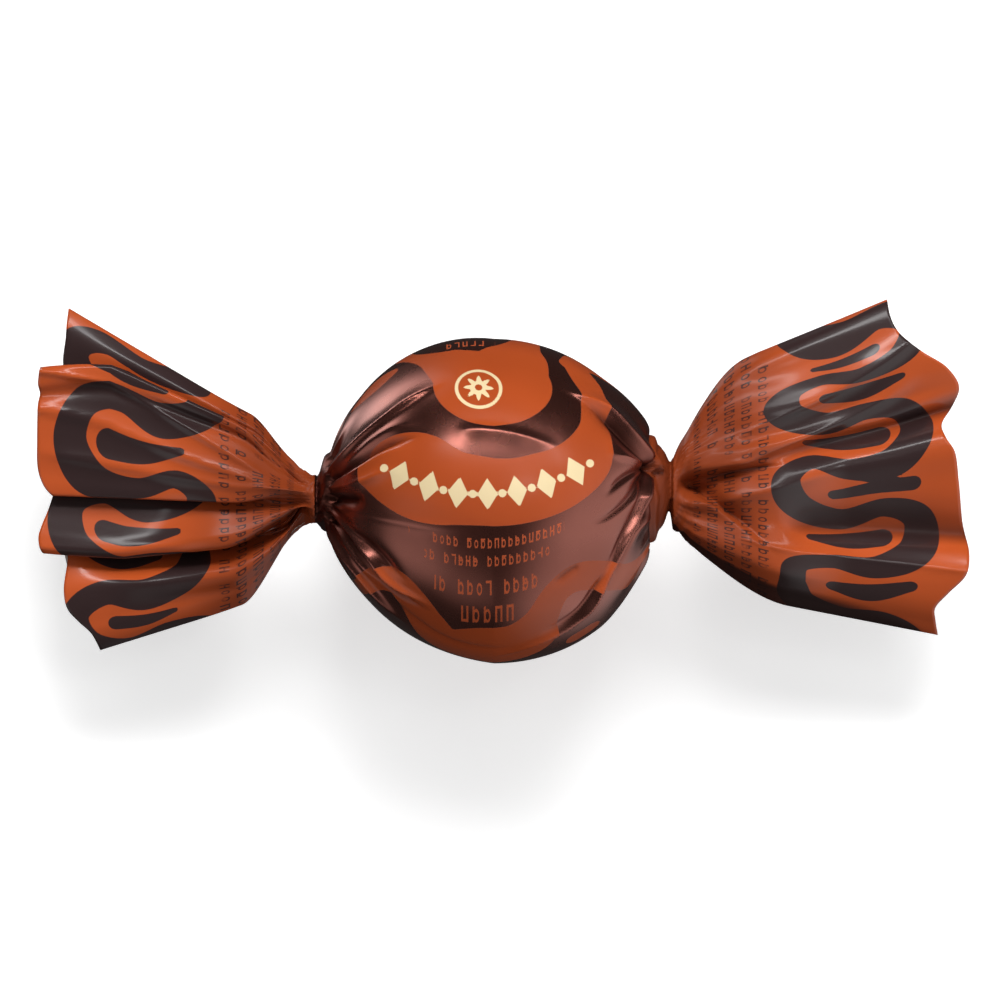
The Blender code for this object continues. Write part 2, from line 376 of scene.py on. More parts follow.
def girth(x):
    """The ball's half height at x, as a share of its widest."""
    return np.sqrt(np.maximum(1.0 - (x / BALL[0]) ** 2, LEAST_GIRTH))


def film_round(x, y):
    """How far round the film a place seen from the front lies."""
    height = (y - bow(x)) / (BALL[1] * girth(x))
    return FILM_RADIUS * np.arcsin(np.clip(height, -MOST_ROUND, MOST_ROUND))


def on_film(base):
    """Film coordinates of points of the ball: along it and round it."""
    turn = np.arctan2(base[..., 1] / BALL[1], base[..., 2] / BALL[2])
    return np.stack([base[..., 0], FILM_RADIUS * turn], -1)


def film_gap(places, sample):
    """Distances along the film and round it from one sample, as they lie."""
    away = np.mod(places[..., 1] - sample[1] + HALF_ROUND, 2.0 * HALF_ROUND) - HALF_ROUND
    return places[..., 0] - sample[0], away * girth(sample[0])


# Creases that the twist pulls into the front of the ball: places seen from the
# front, lift, width of the gentle side (to the left, going along the crease)
# and of the steep side.  A negative lift is a groove.
BALL_CREASES = (
    (((-17.4, 4.1), (-16.4, 5.2), (-14.6, 7.1), (-11.9, 9.3), (-9.2, 11.3), (-6.5, 12.8),
      (-4.6, 13.5)), 0.55, 1.3, 0.38),
    (((-17.3, 3.2), (-15.2, 5.1), (-13.5, 6.6), (-11.5, 7.8), (-9.4, 8.6), (-7.2, 9.0)),
     0.50, 1.7, 0.6),
    (((-17.6, 2.8), (-15.2, 4.3), (-13.5, 5.4), (-11.5, 6.4), (-9.2, 7.0), (-7.4, 7.3)),
     -0.65, 0.45, 0.26),
    (((-17.5, 2.3), (-14.6, 4.0), (-12.6, 5.1), (-10.9, 5.7), (-8.5, 6.0)), 0.40, 0.35, 1.3),
    (((-17.6, 1.5), (-15.8, 1.9), (-14.0, 2.5), (-11.7, 3.4), (-9.8, 3.7)), 0.40, 0.6, 0.6),
    (((-18.2, 0.4), (-17.0, 0.2), (-15.6, 0.2), (-14.2, 0.6)), -0.80, 0.7, 0.8),
    (((-17.8, -1.4), (-15.6, -3.7), (-13.8, -5.1), (-12.2, -6.5), (-10.6, -8.0), (-9.0, -9.2)),
     -0.60, 0.8, 0.4),
    (((-18.5, -0.6), (-16.9, -2.4), (-15.2, -4.3), (-13.6, -6.1), (-12.3, -7.8), (-10.4, -9.5),
      (-8.5, -10.6), (-6.3, -12.0)), 0.80, 0.35, 0.28),
    (((-18.4, -1.2), (-16.9, -3.1), (-15.3, -5.0), (-13.7, -6.9), (-12.4, -8.5), (-10.5, -10.1),
      (-8.6, -11.2), (-6.4, -12.5)), -0.75, 0.24, 0.5),
    (((-18.0, -2.4), (-16.2, -4.9), (-14.6, -6.9), (-13.3, -8.3), (-12.0, -9.5)), 0.50, 0.24, 0.28),
    (((-18.5, -2.1), (-17.3, -4.4), (-16.0, -6.3), (-14.7, -8.0), (-13.4, -9.5), (-11.9, -11.3),
      (-10.6, -12.7), (-9.4, -13.9)), 0.90, 0.38, 0.40),
    (((-17.5, -0.2), (-14.6, -1.4), (-11.0, -2.2), (-6.0, -2.9), (-1.5, -2.6)), 0.20, 1.0, 0.5),
    (((-4.4, 7.9), (-2.0, 8.1), (0.6, 7.9), (3.4, 7.3), (5.9, 6.5), (8.2, 5.6)), 0.32, 0.5, 1.3),
    (((17.5, 4.4), (16.9, 5.3), (15.1, 7.6), (12.7, 10.1), (9.9, 11.5), (8.2, 12.3), (6.3, 13.1)),
     0.8, 0.34, 1.5),
    (((17.5, 4.1), (16.7, 4.9), (15.0, 6.9), (13.0, 9.0), (11.4, 10.2), (9.6, 11.0)),
     -0.95, 1.1, 0.40),
    (((17.6, 3.8), (15.6, 4.6), (13.6, 5.1), (12.2, 5.6)), 0.50, 0.3, 1.0),
    (((17.5, 4.1), (15.1, 3.0), (13.5, 1.9), (11.9, 0.3)), -0.50, 0.24, 0.45),
    (((17.5, 4.0), (16.2, 2.2), (15.1, 0.5), (13.5, -1.0), (11.9, -2.0), (9.6, -2.5)),
     -0.50, 0.24, 0.5),
    (((17.5, 3.8), (16.4, 1.2), (15.5, -1.6), (14.3, -3.9), (13.1, -6.4), (12.1, -8.2)),
     -0.65, 0.20, 0.35),
    (((17.7, 3.5), (17.0, 1.2), (16.0, -1.4), (14.8, -3.9), (13.6, -6.4), (12.6, -8.2),
      (11.4, -10.2), (9.7, -12.7), (7.4, -14.6)), 0.60, 0.32, 0.32),
    (((17.8, 3.2), (17.6, 1.2), (16.7, -1.2), (15.3, -3.9), (14.1, -6.4), (13.0, -8.4)),
     -0.65, 0.35, 0.20),
    (((13.4, -7.4), (11.9, -9.6), (10.2, -12.0), (8.0, -13.8), (5.5, -15.1), (2.4, -16.4),
      (-0.5, -17.3)), 0.70, 0.4, 0.6),
    (((12.6, -7.6), (11.2, -9.6), (9.4, -11.9), (7.3, -13.4), (4.9, -14.6)), -0.40, 0.6, 0.3),
    (((9.6, -7.0), (8.0, -8.0), (6.4, -9.4)), -0.25, 0.5, 0.3),
    (((-13.2, -8.8), (-9.4, -12.4), (-5.0, -15.2), (0.0, -16.2), (4.4, -15.6)), -0.25, 0.5, 1.0),
)
# Where the gathers at the ball's two ends lie round it, and their pleats: how
# many, lift, degrees they fade over, share of crisp crest, shift
LEFT_PHASE = 0.6
RIGHT_PHASE = 2.2
BALL_PLEATS = ((11, 0.30, 38.0, 0.5, 0.0), (19, 0.16, 22.0, 0.6, 0.7), (33, 0.06, 14.0, 0.6, 1.9))
BALL_PLEATS_FALL = 1.6
# Broad waves of the film: lift, how many go round, shift, lean along the ball
BALL_WAVES = ((0.10, 5, 1.1, 1.2), (0.05, 9, 0.3, 2.0))

# Painted shade on the ball: the depth at which a crease gets its full shade; how
# strong the shade is where the film gathers, and how far that reaches from the ball's ends
BALL_HOLLOW_DEPTH = 0.75
GATHER_SHADE = 0.78
GATHER_REACH = math.radians(18.0)

# The share of its length over which a crease keeps its full height, how its
# sides fall off, and how far round the ball its lift is evened out, in points
CREASE_HOLD = 0.55
CREASE_FALL = 1.4
CREASE_LEVEL = 24
# A crease that begins nearer the middle than this rises over its first share
CREASE_FROM_NECK = 16.5
CREASE_START = 0.2
# How strong the underside's copy of the creases is
UNDERSIDE_CREASES = 0.5
# The spacing of a crease's points, and the share of it that each one covers
CREASE_STEP = 0.2
CREASE_COVER = 0.6


def crease_relief(base):
    """How far the creases lift each point of the smooth ball."""
    film = on_film(base)
    lift = np.zeros(base.shape[:-1])
    for turned, strength in ((0.0, 1.0), (HALF_ROUND, UNDERSIDE_CREASES)):
        for places, height, gentle, steep in BALL_CREASES:
            line = spline(places, CREASE_STEP)
            line[:, 1] = film_round(line[:, 0], line[:, 1]) + turned
            as_it_lies = np.stack([np.ones(len(line)), girth(line[:, 0])], 1)
            course = np.gradient(line, axis=0) * as_it_lies
            steps = np.linalg.norm(course, axis=1)
            course /= steps[:, None]
            along = np.cumsum(steps) - steps[0]
            near = np.full(lift.shape, FAR)
            share = np.zeros(lift.shape)
            hand = np.ones(lift.shape)
            for point, ahead, most, u in zip(line, course, CREASE_COVER * steps, along):
                dx, dy = film_gap(film, point)
                passed = np.clip(dx * ahead[0] + dy * ahead[1], -most, most)
                gap = (dx - passed * ahead[0]) ** 2 + (dy - passed * ahead[1]) ** 2
                closer = gap < near
                share = np.where(closer, (u + passed) / along[-1], share)
                hand = np.where(closer, ahead[0] * dy - ahead[1] * dx, hand)
                near = np.minimum(gap, near)
            width = np.where(hand > 0.0, gentle, steep)
            tip = 1.0 - smoothstep((share - CREASE_HOLD) / (1.0 - CREASE_HOLD))
            if abs(line[0, 0]) < CREASE_FROM_NECK:
                tip = tip * smoothstep(share / CREASE_START)
            lift += strength * height * tip * np.exp(-(np.sqrt(near) / width) ** CREASE_FALL)
    return lift - ring_blur(lift, CREASE_LEVEL)


def ball_surface():
    """Grid of the film on the ball with both necks, and its smooth shape."""
    polar = np.linspace(BALL_END_ANGLE, math.pi - BALL_END_ANGLE, BALL_ROWS + 1)[:, None]
    across = np.sin(polar) * np.cos(ANGLES)
    unit = np.stack([np.broadcast_to(-np.cos(polar), across.shape), across,
                     np.sin(polar) * np.sin(ANGLES)], -1)
    base = unit * BALL
    from_left = polar
    from_right = math.pi - polar
    relief = np.zeros(base.shape[:-1])
    for distance, phase in ((from_left, LEFT_PHASE), (from_right, RIGHT_PHASE)):
        for count, lift, fades, crisp, shift in BALL_PLEATS:
            fade = 1.0 - smoothstep((distance - BALL_END_ANGLE) / math.radians(fades))
            collar = 1.0
            if phase == RIGHT_PHASE:
                collar = smoothstep((distance - COLLAR_ANGLE) / COLLAR_SMOOTH)
            relief += (lift * collar * fade ** BALL_PLEATS_FALL
                       * folds(ANGLES, count, phase + shift, crisp))
    for lift, count, shift, lean in BALL_WAVES:
        relief += lift * np.sin(count * ANGLES + shift + lean * np.cos(polar)) * np.sin(polar)
    relief += crease_relief(base)
    from_groove = (from_right - COLLAR_ANGLE) * BALL[1]
    relief -= COLLAR_GROOVE * np.exp(-(from_groove / COLLAR_GROOVE_WIDTH) ** 2)
    relief += COLLAR_SWELL * smoothstep(-from_groove / COLLAR_SWELL_OVER)
    body = base + unit * relief[..., None]
    body[..., 1] += bow(base[..., 0])
    body[..., 2] += CENTRE_Z
    body[..., 2] = np.maximum(body[..., 2], OVER_TABLE)
    left = neck_rings(body[0], -1.0, LEFT_NECK, LEFT_BOW, LEFT_FLARES, smoothstep,
                      LEFT_EDGE, LEFT_RING, LEFT_RISE)
    right = neck_rings(body[-1], 1.0, RIGHT_NECK, RIGHT_BOW, RIGHT_FLARES, rounded,
                       RIGHT_EDGE, RIGHT_RING, RIGHT_RISE)
    # Painted shade on the ball: darker in the creases' grooves, and near both ends where the film
    # gathers into the necks
    painted_shade = np.clip(-relief / BALL_HOLLOW_DEPTH, 0.0, 1.0)
    painted_shade = np.maximum(painted_shade, GATHER_SHADE * (1.0 - smoothstep(
        (np.minimum(from_left, from_right) - BALL_END_ANGLE) / GATHER_REACH)))
    return left, body, right, base, painted_shade


def neck_rings(ball_end, side, neck, shoulder_y, flares, ease, edge, ring, rise):
    """Rings from the end of the ball over shoulder and neck to the tail."""
    top, bottom = edge[0][1], edge[-1][1]
    lean = smoothstep((top - ring[:, 1]) / (top - bottom))
    across = opening(0.0, lean, flares, ease) * mix(top, -bottom, lean)

    def section(x, y, radius_y, radius_z):
        return np.stack([np.full(RING, x), y + radius_y * np.cos(ANGLES),
                         CENTRE_Z + radius_z * np.sin(ANGLES)], -1)

    tail = section(neck[0] + side * TAIL_START, neck[1] + rise * TAIL_START, across,
                   TAIL_START_DEPTH)
    tail[:, 2] -= TAIL_DROOP * TAIL_START
    knots = [
        ball_end,
        section(side * SHOULDER_X, shoulder_y, SHOULDER_RADIUS, SHOULDER_RADIUS),
        section(neck[0], neck[1], NECK_RADIUS, NECK_RADIUS),
        tail,
    ]
    knots = [2 * knots[0] - knots[1], *knots, 2 * knots[3] - knots[2]]
    rings = []
    steps = NECK_ROWS // 3 + 1
    for k in range(1, 4):
        p0, p1, p2, p3 = knots[k - 1:k + 3]
        for step in range(steps):
            u = step / steps
            rings.append(0.5 * (2 * p1 + (p2 - p0) * u + (2 * p0 - 5 * p1 + 4 * p2 - p3) * u ** 2
                                + (3 * p1 - p0 - 3 * p2 + p3) * u ** 3))
    rings.append(tail)
    rings = np.array(rings)[1:]
    along = np.abs(rings[:, :, 0].mean(1)) - abs(neck[0])
    for k, ring_points in enumerate(rings):
        lift = rising(along[k], NECK_TWIST_GROWS) * twist(ANGLES, side * along[k])
        ring_points[:, 1] += lift * np.cos(ANGLES)
        ring_points[:, 2] += lift * np.sin(ANGLES)
    return rings


# ---- print


def flat_gap(places, sample):
    return places[..., 0] - sample[0], places[..., 1] - sample[1]


def stroke(places, controls, step, gap_from=flat_gap):
    """Signed distance to a stroke, given as places with its half width there."""
    best = np.full(places.shape[:-1], FAR)
    for sample in spline(controls, step):
        best = np.minimum(best, np.hypot(*gap_from(places, sample)) - sample[2])
    return best


FAR = 1e9
NO_PRINT = 9.0
# The spacing of a stroke's points on the tails and on the ball
INK_STEP = 0.3
ORANGE_STEP = 0.25
# A meandering ribbon and the drops between its bends: distance from the neck,
# length along the film, half width.  It repeats round the tail.
REPEAT = 48.0
RIBBON = (
    (13.5, -3.0, 1.5), (14.5, 0.5, 2.2), (19.0, 2.5, 2.3), (24.0, 1.8, 1.5), (27.6, 4.5, 1.5),
    (26.8, 8.2, 2.0), (22.0, 9.6, 1.5), (17.5, 8.6, 1.1), (13.8, 10.6, 1.6), (13.4, 14.5, 2.2),
    (17.5, 17.0, 2.0), (22.5, 16.2, 1.3), (26.6, 17.6, 1.5), (28.0, 21.6, 1.9), (25.2, 25.4, 2.3),
    (20.0, 25.4, 1.6), (15.8, 23.8, 1.2), (12.9, 26.6, 1.5), (13.6, 31.0, 2.1), (18.4, 33.0, 1.6),
    (23.6, 31.8, 1.3), (27.4, 34.0, 1.7), (27.2, 38.4, 2.2), (22.8, 40.6, 1.8), (17.8, 39.8, 1.1),
    (13.8, 41.4, 1.4), (13.5, 45.0, 1.5),
)
DROPS = (
    ((16.6, 6.1, 0.4), (19.5, 6.2, 0.75), (23.2, 5.8, 0.9)),
    ((18.2, 12.7, 0.9), (22.5, 12.9, 1.3), (26.6, 12.4, 0.6)),
    ((15.6, 20.3, 0.5), (19.5, 20.9, 1.2), (23.6, 21.0, 1.5)),
    ((18.0, 29.2, 0.7), (22.5, 28.7, 0.9), (27.0, 29.2, 1.0)),
    ((15.2, 36.2, 0.5), (19.5, 36.4, 1.2), (23.4, 36.2, 1.3)),
    ((18.2, 44.5, 0.9), (22.5, 45.0, 1.5), (26.8, 43.9, 0.9)),
)


# How far the ribbon sways along the tail, and how far and fast round it
SWAY_ALONG = 0.6
SWAY_ROUND = (0.8, 4.1)


def tail_ink(film, round_length):
    """Signed distance to the tails' dark print, negative inside it."""
    around = film[..., 1] * (2.0 * REPEAT / round_length)
    sway, over = SWAY_ROUND
    warped = np.stack([film[..., 0] + SWAY_ALONG * np.sin(TAU * around / REPEAT),
                       np.mod(around + sway * np.sin(film[..., 0] / over), REPEAT)], -1)
    best = np.full(around.shape, FAR)
    for shift in (-REPEAT, 0.0, REPEAT):
        moved = warped + np.array((0.0, shift))
        for controls in (RIBBON,) + DROPS:
            best = np.minimum(best, stroke(moved, controls, INK_STEP))
    return best


# Orange fields on the front of the ball, as strokes over places seen from the
# front: the label, the cap above it with its tip, the swag below it, and
# pieces that run off to the sides
LABEL = ((-13.1, 4.2, 1.4), (-12.5, 4.0, 2.3), (-11.5, 3.8, 3.45), (-10.1, 3.4, 4.35),
         (-8.5, 2.8, 4.75), (-6.7, 2.1, 4.5), (-4.5, 1.6, 4.05), (-1.0, 1.2, 3.75),
         (2.5, 1.2, 3.6), (5.5, 1.9, 3.5), (7.9, 2.9, 3.2), (10.1, 4.7, 2.75), (11.2, 7.3, 1.9),
         (11.3, 9.3, 1.6), (10.9, 11.8, 1.5), (10.1, 13.6, 1.8), (9.0, 15.0, 1.6))
CAP = ((-0.6, 13.3, 6.1), (0.6, 13.4, 6.1))
CAP_TIP = ((-2.6, 14.6, 4.4), (-4.6, 15.5, 3.1), (-6.6, 16.1, 1.9), (-8.4, 16.3, 1.3),
           (-10.2, 16.1, 0.8))
SWAG = ((-15.6, -9.5, 0.5), (-13.8, -8.8, 0.95), (-12.2, -8.6, 1.5), (-10.8, -9.0, 1.9),
        (-9.2, -10.7, 2.1), (-7.6, -13.0, 2.4), (-5.6, -15.3, 3.0), (-3.5, -16.2, 4.0),
        (-0.5, -16.4, 4.5), (3.0, -15.6, 3.8), (5.0, -13.2, 2.1), (7.0, -10.0, 1.6),
        (9.3, -8.4, 1.8), (11.5, -8.2, 1.7), (13.8, -8.4, 1.2), (16.4, -6.8, 1.4))
SWAG_DROP = ((9.2, -15.0, 1.2), (10.8, -14.0, 1.1))
SIDE_LEFT = ((-15.3, 10.9, 0.7), (-13.4, 12.9, 1.6), (-11.6, 14.3, 0.9))
FRONT_FIELDS = (LABEL, CAP, CAP_TIP, SWAG, SWAG_DROP, SIDE_LEFT)

# Fields measured round the film from the middle of the front: the dark strip
# above the cap, and the orange on the sides and the underside
DARK_STRIP = ((-4.6, 26.2, 4.4), (-2.2, 26.1, 4.2))
BACK_FIELDS = (
    ((1.2, 16.5, 4.9), (2.0, 19.0, 4.0), (2.8, 22.0, 2.4), (3.6, 27.0, 1.4), (3.0, 31.0, 1.5),
     (2.8, 35.0, 2.2)),
    ((8.4, 21.5, 1.2), (10.0, 25.0, 1.8), (13.0, 27.5, 1.9), (16.0, 28.0, 1.1)),
    ((-15.0, 33.0, 0.8), (-9.6, 35.5, 2.4), (-3.0, 33.5, 1.8), (2.6, 36.5, 2.8),
     (9.0, 37.5, 1.9), (14.6, 33.0, 1.0)),
    ((-13.6, 46.0, 0.7), (-7.0, 44.8, 1.9), (0.0, 46.8, 1.3), (6.2, 47.2, 2.0), (12.0, 45.0, 0.8)),
    ((-14.6, 56.5, 0.8), (-8.6, 55.0, 2.2), (-2.0, 57.0, 1.7), (4.4, 56.6, 2.4), (10.0, 54.0, 2.0),
     (14.8, 56.0, 0.9)),
    ((-13.8, -43.5, 0.7), (-8.0, -42.8, 1.8), (-1.6, -45.0, 1.5), (5.0, -44.5, 2.1),
     (11.4, -42.5, 0.8)),
    ((-15.2, -31.0, 0.8), (-10.4, -33.4, 1.8), (-4.6, -34.6, 1.2), (2.0, -34.0, 2.0),
     (8.2, -31.6, 1.4), (14.2, -33.0, 0.8)),
)


def ball_orange(base):
    """Signed distance to the ball's orange print, negative inside it."""
    def film_stroke(controls):
        return stroke(film, controls, ORANGE_STEP, film_gap)

    film = on_film(base)
    best = math.cos(COLLAR_ANGLE) * BALL[0] - base[..., 0]
    for field in FRONT_FIELDS:
        line = np.array(field)
        line[:, 1] = film_round(line[:, 0], line[:, 1])
        best = np.minimum(best, film_stroke(line))
    for field in BACK_FIELDS:
        best = np.minimum(best, film_stroke(field))
    return np.maximum(best, -film_stroke(DARK_STRIP))


# The cream row in place of a name: lozenges and dots on a hanging arc, and a
# small rosette above it
ARC = (0.85, 0.0245, -1.2)
ARC_ENDS = (-12.0, 10.6)
ARC_MARKS = 14
LOZENGE = (1.12, 1.75)
DOT_RADIUS = 0.45
ROSETTE_PLACE = (-1.7, 12.7)
ROSETTE_RADIUS = 2.45
ROSETTE_HEIGHT = 1.16
ROSETTE_PETALS = (0.50, 0.19, 8)
ROSETTE_HEART = 0.42
ROSETTE_LINE = 0.19


def arc_height(x):
    """Height of the row's middle line at x, seen from the front."""
    low, bend, middle = ARC
    return low + bend * (x - middle) ** 2


def cream_marks(base):
    """Signed distance to the cream print, negative inside it."""
    front = base[..., 2] > 0.0
    x, y = base[..., 0], base[..., 1] + bow(base[..., 0])
    above = on_film(base)[..., 1] - film_round(*ROSETTE_PLACE)
    best = rosette(x - ROSETTE_PLACE[0], above / ROSETTE_HEIGHT)
    first, last = ARC_ENDS
    for k in range(ARC_MARKS + 1):
        cx = mix(first, last, k / ARC_MARKS)
        cy = arc_height(cx)
        slope = math.atan(2.0 * ARC[1] * (cx - ARC[2]))
        u = (x - cx) * math.cos(slope) + (y - cy) * math.sin(slope)
        v = (y - cy) * math.cos(slope) - (x - cx) * math.sin(slope)
        if k % 2:
            half_u, half_v = LOZENGE
            mark = ((np.abs(u) / half_u + np.abs(v) / half_v - 1.0)
                    * half_u * half_v / math.hypot(half_u, half_v))
        else:
            mark = np.hypot(u, v) - DOT_RADIUS
        best = np.minimum(best, mark)
    return np.where(front, best, NO_PRINT)


def rosette(u, v):
    """Signed distance to an eight-petalled rosette in a thin ring."""
    radius = np.hypot(u, v)
    turn = np.arctan2(v, u)
    size, swing, count = ROSETTE_PETALS
    petals = radius - ROSETTE_RADIUS * (size + swing * np.cos(count * turn))
    ring = np.abs(radius - ROSETTE_RADIUS) - ROSETTE_LINE
    return np.minimum(np.maximum(petals, ROSETTE_HEART - radius), ring)


# ---- meshes


def add_object(name, data):
    thing = bpy.data.objects.new(name, data)
    bpy.context.scene.collection.objects.link(thing)
    return thing


def make_mesh(name, grid, attributes, uv):
    """A tube of quads from rows of ring points, with its print and painted-shade attributes."""
    rows = grid.shape[0]
    points = grid.reshape(-1, 3) * MM
    first = np.arange(rows - 1)[:, None] * RING
    i = np.arange(RING)
    j = (i + 1) % RING
    quads = np.stack([first + i, first + j, first + j + RING, first + i + RING], -1)
    quads = quads.reshape(-1, 4)
    mesh = bpy.data.meshes.new(name)
    mesh.from_pydata(points.tolist(), [], quads.tolist())
    for key, values in attributes.items():
        layer = mesh.attributes.new(key, "FLOAT", "POINT")
        layer.data.foreach_set("value", np.asarray(values, np.float32).ravel())
    layer = mesh.uv_layers.new(name="print")
    layer.data.foreach_set("uv", uv.reshape(-1, 2)[quads.ravel()].astype(np.float32).ravel())
    mesh.polygons.foreach_set("use_smooth", np.ones(len(quads), bool))
    mesh.validate()
    return add_object(name, mesh)


# ---- materials


def add_node(tree, kind):
    return tree.nodes.new("ShaderNode" + kind)


class Wire:
    """A number in a shader, on which ordinary arithmetic can be written."""

    def __init__(self, tree, socket):
        self.tree = tree
        self.socket = socket

    def math(self, operation, *others, clamp=False):
        node = add_node(self.tree, "Math")
        node.operation = operation
        node.use_clamp = clamp
        for slot, value in zip(node.inputs, (self,) + others):
            if isinstance(value, Wire):
                self.tree.links.new(value.socket, slot)
            else:
                slot.default_value = value
        return Wire(self.tree, node.outputs[0])

    __add__ = partialmethod(math, "ADD")
    __sub__ = partialmethod(math, "SUBTRACT")
    __mul__ = partialmethod(math, "MULTIPLY")
    __truediv__ = partialmethod(math, "DIVIDE")
    floor = partialmethod(math, "FLOOR")
    fract = partialmethod(math, "FRACT")
    abs = partialmethod(math, "ABSOLUTE")

    def feed(self, node, name):
        self.tree.links.new(self.socket, node.inputs[name])

    def below(self, limit, soft):
        """1 well under the limit and 0 well over it."""
        return ((self * -1.0) + limit + soft / 2).math("DIVIDE", soft, clamp=True)

    def above(self, limit, soft):
        return (self - (limit - soft / 2)).math("DIVIDE", soft, clamp=True)

    def near(self, middle, half, soft):
        return (self - middle).abs().below(half, soft)


def set_inputs(node, values):
    for name, value in values.items():
        node.inputs[name].default_value = value


def attribute(tree, name):
    node = add_node(tree, "Attribute")
    node.attribute_name = name
    return Wire(tree, node.outputs["Fac"])


def blend_colours(tree, share, low, high):
    """A mix of two colours, each a tuple or a socket, by a wire."""
    node = add_node(tree, "Mix")
    node.data_type = "RGBA"
    share.feed(node, "Factor")
    colour_slots = [s for s in node.inputs if s.type == "RGBA"]
    for slot, value in zip(colour_slots, (low, high)):
        if isinstance(value, tuple):
            slot.default_value = (*value, 1.0)
        else:
            tree.links.new(value, slot)
    return [s for s in node.outputs if s.type == "RGBA"][0]


def noise(tree, scale, detail=2.0, stretch=(1.0, 1.0, 1.0), roughness=0.5):
    coordinates = add_node(tree, "TexCoord")
    mapping = add_node(tree, "Mapping")
    set_inputs(mapping, {"Scale": stretch})
    texture = add_node(tree, "TexNoise")
    set_inputs(texture, {"Scale": scale, "Detail": detail, "Roughness": roughness})
    tree.links.new(coordinates.outputs["Object"], mapping.inputs["Vector"])
    tree.links.new(mapping.outputs["Vector"], texture.inputs["Vector"])
    return Wire(tree, texture.outputs["Fac"])


def new_material(name):
    material = bpy.data.materials.new(name)
    material.use_nodes = True
    tree = material.node_tree
    return material, tree, tree.nodes["Principled BSDF"]


# Rows of small print: on the tails so far apart; on the ball, upwards, at these
# heights above the arc, of these half heights, between these places, with
# marks so wide.  The marks take up this share of a row's pitch.  Heights past
# the ball's top edge are measured round the film.
TOP_EDGE = 19.0
ROW_GAP = 1.9
LETTER_SHARE = 0.62
BALL_ROWS_OF_PRINT = (
    (-12.4, 0.90, -3.8, 3.2, 1.25), (-9.5, 0.80, -6.5, 5.0, 1.02), (-6.6, 0.58, -7.7, 6.2, 0.80),
    (-4.6, 0.56, -9.4, 7.8, 0.76), (23.3, 0.95, -5.6, 0.2, 0.9),
)

ORANGE = (0.560, 0.092, 0.019)
ORANGE_DEEP = (0.425, 0.067, 0.013)
DARK_INK = (0.036, 0.019, 0.019)
METAL_BROWN = (0.37, 0.118, 0.086)
CREAM = (0.90, 0.72, 0.42)
# Near-black painted into folds, creases, the necks and the right tail's lower edge as shade
PAINTED_SHADE_COLOUR = (0.016, 0.004, 0.003)
INSIDE = ((0.50, 0.40, 0.36), (0.62, 0.53, 0.48))
# How soft the print's edge is, how strong the painted shade is, how metallic the
# ball is, its roughness and how much that varies, falls on metal and rises where
# shade is painted
INK_EDGE = 0.07
PAINTED_SHADE_STRENGTH = 0.8
METALLIC = 0.96
ROUGHNESS = 0.36
ROUGH_VARIES = 0.10
METAL_SMOOTHER = 0.10
HOLLOW_ROUGHER = 0.2
# The film's gloss and how rough it is, each with what metal adds, and how fast
# the gloss fades where shade is painted, as painted shade on its reflections
GLOSS = (0.75, -0.20)
GLOSS_ROUGH = (0.13, 0.12)
GLOSS_FADES = 1.6


# The made-up marks, in shares of their place: where stems are and how thick, the
# ring's middle, its radii and its line, the bar's heights and half size, how
# soft all are; and the chances that a stem, the bar or all of a mark is missing
# and that a mark is round
STEMS = (0.20, 0.66)
STEM_HALF = 0.085
RING_MIDDLE = (0.43, 0.42)
RING_RADII = (0.28, 0.42)
RING_LINE = (0.8, 0.22, 0.12)
BAR_LOW, BAR_RISE, BAR_RISES = 0.09, 0.41, 3.0
BAR_HALF = (0.3, 0.09)
MARK_SOFT = 0.05
NO_STEM, NO_BAR, NO_MARK = 0.35, 0.5, 0.16
ROUND = 0.62
SURE = 0.01


def small_print(tree, u, v):
    """Made-up marks in rows: a mark to every whole u, a row to every whole v.

    Each is picked at random from a few stems, a ring and a bar.
    """
    combine = add_node(tree, "CombineXYZ")
    u.floor().feed(combine, "X")
    v.floor().feed(combine, "Y")
    chance = add_node(tree, "TexWhiteNoise")
    chance.noise_dimensions = "2D"
    tree.links.new(combine.outputs["Vector"], chance.inputs["Vector"])
    parts = add_node(tree, "SeparateColor")
    tree.links.new(chance.outputs["Color"], parts.inputs["Color"])
    first, second, third = (Wire(tree, parts.outputs[key]) for key in ("Red", "Green", "Blue"))
    across = u.fract()
    up = (v.fract() - 0.5) * (1.0 / LETTER_SHARE) + 0.5
    left_stem = across.near(STEMS[0], STEM_HALF, MARK_SOFT) * first.above(NO_STEM, SURE)
    right_stem = across.near(STEMS[1], STEM_HALF, MARK_SOFT) * second.above(ROUND, SURE)
    round_part = (((across - RING_MIDDLE[0]) / RING_RADII[0]).math("POWER", 2.0)
                  + ((up - RING_MIDDLE[1]) / RING_RADII[1]).math("POWER", 2.0)).math("SQRT")
    ring = round_part.near(*RING_LINE) * second.below(ROUND, SURE)
    height = (third * BAR_RISES).floor() * BAR_RISE + BAR_LOW
    bar = (up.near(height, BAR_HALF[1], MARK_SOFT)
           * across.near(RING_MIDDLE[0], BAR_HALF[0], MARK_SOFT) * second.above(NO_BAR, SURE))
    marks = left_stem
    for part in (right_stem, ring, bar):
        marks = marks.math("MAXIMUM", part)
    printed = Wire(tree, chance.outputs["Value"]).above(NO_MARK, SURE)
    return marks * up.near(0.5, 0.5, MARK_SOFT) * printed


